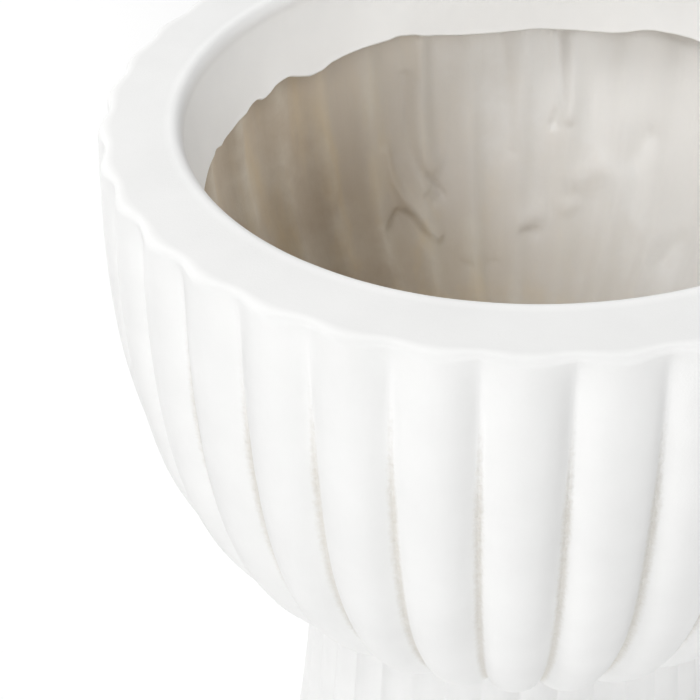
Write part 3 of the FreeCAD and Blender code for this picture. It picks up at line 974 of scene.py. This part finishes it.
class PLANTER_OT_plug(bpy.types.Operator):
    """Mould the rubber drain plug"""
    bl_idname = "planter.plug"
    bl_label = "Drain plug"

    def execute(self, context):
        rubber = moulded_rubber(
            "moulded black rubber", context.scene.planter_colours.plug, 0.25)
        piece = cast("rubber_plug", plug_rows(), 18, rubber, columns_per_rib=6, seed=1.0)
        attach(piece, "plug")
        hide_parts("drain_plug")
        return {"FINISHED"}


def pads_tree():
    """Node tree that sets one turned pad at each corner of the foot ring."""
    tree, given = new_tree("pads round the foot", (
        ("Pad", "Geometry", None), ("Count", "Int", None), ("Circle radius", "Float", None),
        ("First", "Float", None), ("Finish", "Material", None)), "Pads")
    circle = add(tree, "GeometryNodeMeshCircle",
                 {"Vertices": given["Count"], "Radius": given["Circle radius"]})
    turn = add(tree, "ShaderNodeCombineXYZ", {"Z": given["First"]})
    turned = add(tree, "GeometryNodeTransform", {"Geometry": circle, "Rotation": turn})
    placed = add(tree, "GeometryNodeInstanceOnPoints",
                 {"Points": turned, "Instance": given["Pad"]})
    add(tree, "NodeGroupOutput", (finished(tree, placed, given["Finish"]),))
    return tree


class PLANTER_OT_pads(bpy.types.Operator):
    """Mould the rubber pads under the foot"""
    bl_idname = "planter.pads"
    bl_label = "Foot pads"

    def execute(self, context):
        low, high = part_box(PAD_NODES[0])
        radius = (high.x - low.x) / 2
        centre = (low + high) / 2
        edge = 0.6 * MM
        rows = [Row(AXIS, low.z), Row(radius - 3.5 * MM, low.z),
                Row(radius - 3.1 * MM, low.z + 0.5 * MM), Row(radius - 2.6 * MM, low.z)]
        rows += corner(radius - edge, low.z + edge, edge, -90, 0, 4)
        rows += corner(radius - edge / 2, high.z - edge / 2, edge / 2, 0, 90, 3)
        rows.append(Row(AXIS, high.z))
        rubber = moulded_rubber(
            "moulded grey rubber", context.scene.planter_colours.pads, 0.35)
        pad = cast("pad", rows, 12, rubber, columns_per_rib=4)
        piece = evaluated_piece(pad, "rubber_foot_pads", pads_tree(), {
            "Count": len(PAD_NODES), "Circle radius": math.hypot(centre.x, centre.y),
            "First": math.atan2(centre.y, centre.x), "Finish": rubber})
        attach(piece, "planter")
        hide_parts(*PAD_NODES)
        return {"FINISHED"}


# ---------------------------------------------------------------- stage

FLOOR_REACH = 6.0               # metres from the middle to its sides
FLOOR_GLOW = 0.11               # the acrylic is lit from behind
SKY_GLOW = 0.1
LAMP_SIZE = 1.2
LAMP_TARGET = (0.0, 0.0, 0.35)

# Soft round lamps, in metres and watts: name, place, power
STUDIO_LIGHTS = (
    ("key", (-1.7, -1.2, 1.9), 11.5),
    ("high key", (-0.95, -0.95, 2.6), 21.5),
    ("front fill", (0.0, -2.3, 1.5), 23.5),
    ("back light", (-1.6, 1.6, 1.8), 36.5),
    ("right fill", (2.3, 0.2, 1.6), 22.5),
)


def area_light(name, place, power):
    """Hangs one soft round lamp that faces the planter."""
    light = bpy.data.lights.new(name, "AREA")
    light.shape = "DISK"
    light.size = LAMP_SIZE
    light.energy = power
    lamp = linked(name, light)
    lamp.location = place
    aim = Vector(LAMP_TARGET) - Vector(place)
    lamp.rotation_euler = aim.to_track_quat("-Z", "Y").to_euler()


class PLANTER_OT_stage(bpy.types.Operator):
    """Set the camera, a plain pale floor and soft studio light"""
    bl_idname = "planter.stage"
    bl_label = "Stage"

    def execute(self, context):
        scene = context.scene
        stage = scene.planter_stage
        camera = linked("camera", bpy.data.cameras.new("camera"))
        camera.data.lens = stage.lens
        camera.data.sensor_width = 36.0
        sin_h, cos_h = math.sin(stage.heading), math.cos(stage.heading)
        sin_p, cos_p = math.sin(stage.pitch), math.cos(stage.pitch)
        forward = Vector((sin_h * cos_p, cos_h * cos_p, -sin_p))
        right = Vector((cos_h, -sin_h, 0.0))
        up = right.cross(forward)
        camera_x = right * math.cos(stage.roll) + up * math.sin(stage.roll)
        camera_y = up * math.cos(stage.roll) - right * math.sin(stage.roll)
        turn = Matrix((camera_x, camera_y, -forward)).transposed()
        camera.matrix_world = Matrix.Translation(stage.place) @ turn.to_4x4()
        scene.camera = camera

        floor_mesh = bpy.data.meshes.new("studio_floor")
        sides = ((-1, -1), (1, -1), (1, 1), (-1, 1))
        floor_mesh.from_pydata(
            [(x * FLOOR_REACH, y * FLOOR_REACH, 0) for x, y in sides], [], [(0, 1, 2, 3)])
        floor = linked("studio_floor", floor_mesh)
        floor.data.materials.append(studio_floor("backlit white acrylic", FLOOR_GLOW))

        for lamp in STUDIO_LIGHTS:
            area_light(*lamp)
        world = bpy.data.worlds.new("white studio")
        world.use_nodes = True
        background = world.node_tree.nodes["Background"]
        background.inputs["Color"].default_value = WHITE
        background.inputs["Strength"].default_value = SKY_GLOW
        scene.world = world
        scene.view_settings.view_transform = "Standard"
        return {"FINISHED"}


# ---------------------------------------------------------------- add-on

class PLANTER_PT_panel(bpy.types.Panel):
    """Lists the planter's pieces"""
    bl_idname = "PLANTER_PT_panel"
    bl_label = "Ribbed urn planter"
    bl_space_type = "VIEW_3D"
    bl_region_type = "UI"
    bl_category = "Planter"

    def draw(self, context):
        for operator in OPERATORS:
            self.layout.operator(operator.bl_idname)
        for group in SETTINGS:
            settings = getattr(context.scene, group)
            for name in settings.bl_rna.properties.keys():
                if name not in ("rna_type", "name"):
                    self.layout.prop(settings, name)


SETTINGS = {
    "planter_bowl": BowlSizes,
    "planter_pedestal": PedestalSizes,
    "planter_colours": PlanterColours,
    "planter_stage": StageSettings,
}
OPERATORS = (PLANTER_OT_bowl, PLANTER_OT_pedestal, PLANTER_OT_mortar, PLANTER_OT_plug,
             PLANTER_OT_pads, PLANTER_OT_stage)


def register():
    for group in (*SETTINGS.values(), *OPERATORS, PLANTER_PT_panel):
        bpy.utils.register_class(group)
    for name, group in SETTINGS.items():
        setattr(bpy.types.Scene, name, PointerProperty(type=group))


def unregister():
    for name in SETTINGS:
        delattr(bpy.types.Scene, name)
    for group in (PLANTER_PT_panel, *reversed(OPERATORS), *SETTINGS.values()):
        bpy.utils.unregister_class(group)


def main():
    register()
    for operator in OPERATORS:
        getattr(bpy.ops.planter, operator.bl_idname.split(".")[1])()


if __name__ == "__main__":
    main()
